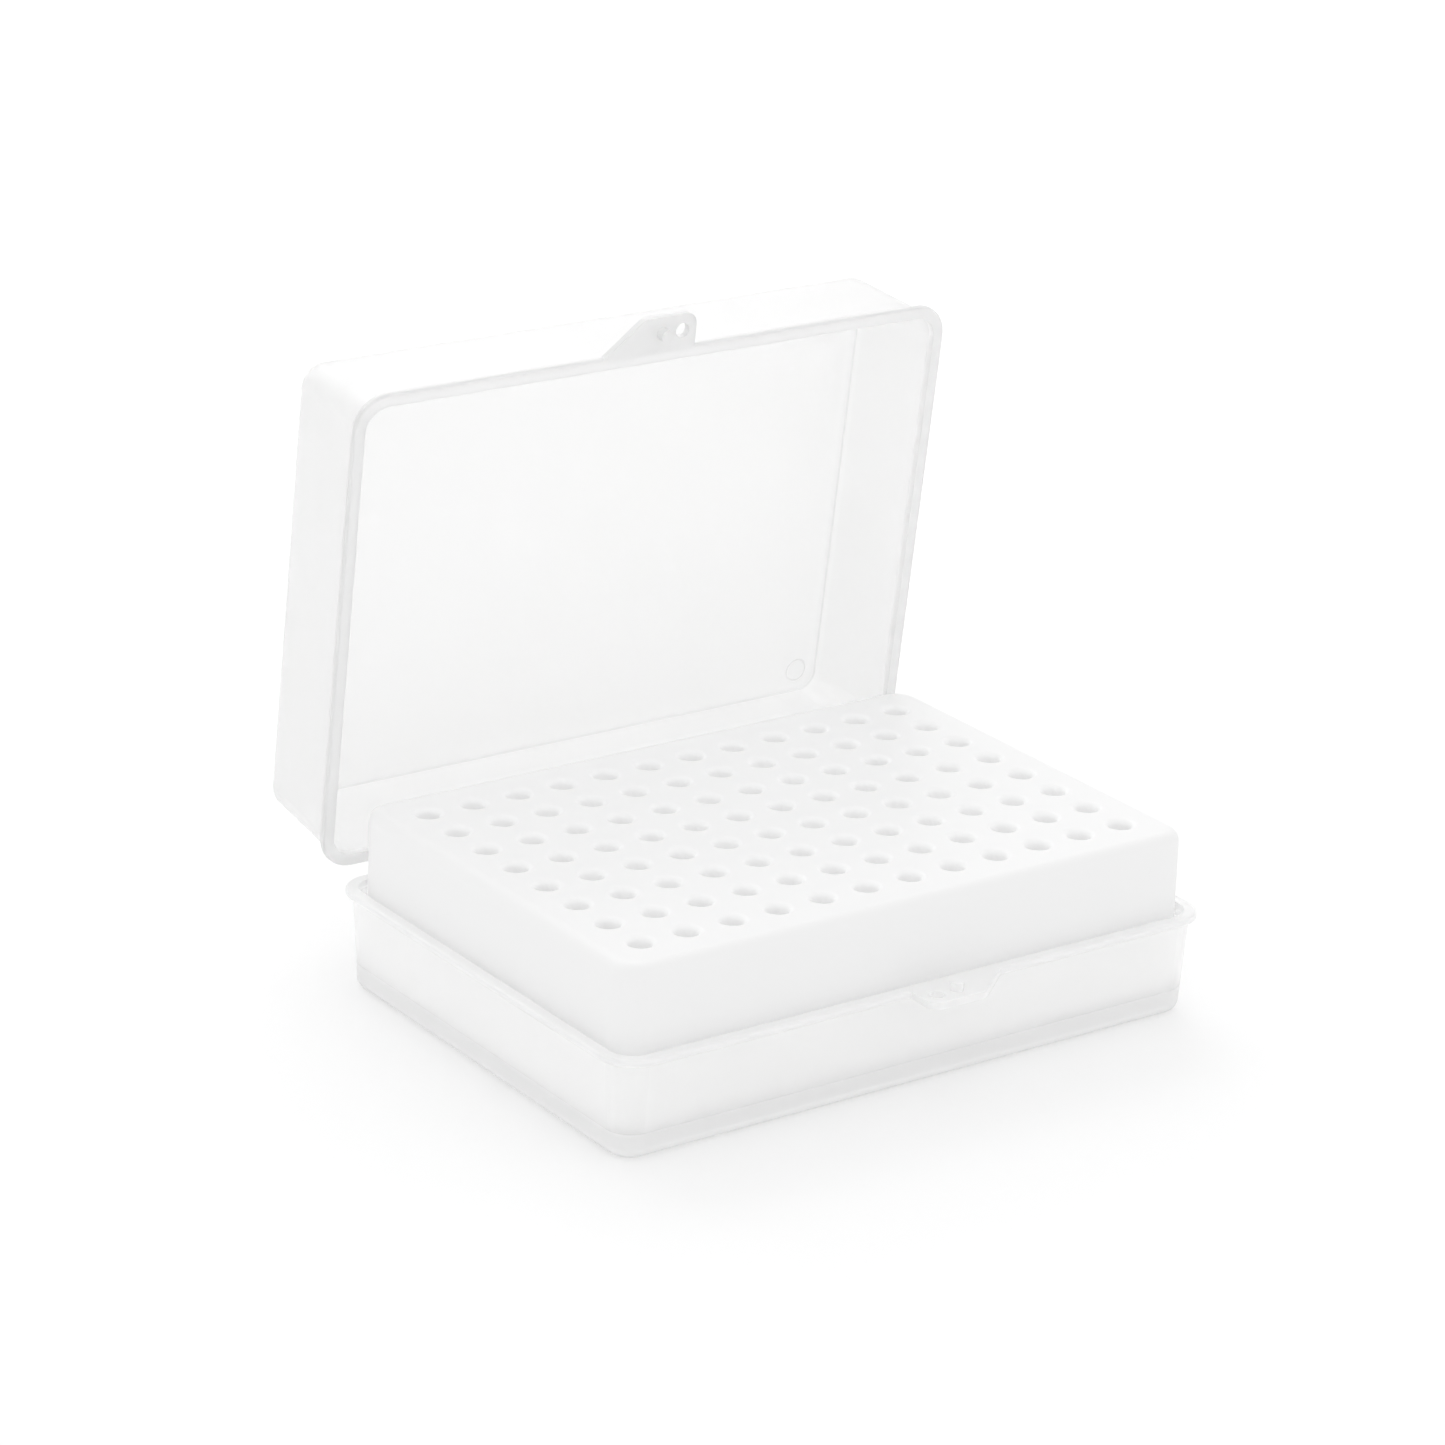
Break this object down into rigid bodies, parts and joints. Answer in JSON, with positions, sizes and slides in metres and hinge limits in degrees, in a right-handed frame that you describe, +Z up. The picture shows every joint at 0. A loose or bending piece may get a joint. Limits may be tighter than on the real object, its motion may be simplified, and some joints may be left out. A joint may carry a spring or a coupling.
{
  "type": "hinged laboratory storage box",
  "caption": "Hinged frosted plastic box with a shallow base tray, a white lift-out rack with a grid of round wells, and a lid standing open on its back hinge.",
  "frame": {"origin": "middle of the base tray's foot, on the surface that the box stands on", "axes": "+X along the long side to the right of someone facing the latch, +Y from the latch to the hinge, +Z up"},
  "size_m": [0.122, 0.1184, 0.1118],
  "materials": {
    "tray_plastic": "frosted translucent natural polypropylene, fine satin mould texture",
    "lid_plastic": "frosted translucent natural polypropylene, fine satin mould texture",
    "rack_plastic": "opaque white polypropylene, satin"
  },
  "bodies": {
    "tray": {"base_tray": "tray_plastic"},
    "lid": {"lid": "lid_plastic"},
    "rack": {"rack_deck": "rack_plastic", "rack_skirt": "rack_plastic"}
  },
  "joints": [
    {"name": "lid_hinge", "type": "hinge", "parent": "tray", "child": "lid", "pos_m": [0, 0.0457, 0.0166], "axis": [1, 0, 0], "range_deg": [0, 83.4]},
    {"name": "rack_lift", "type": "slide", "parent": "tray", "child": "rack", "axis": [0, 0, 1], "range_m": [0, 0.003]}
  ]
}
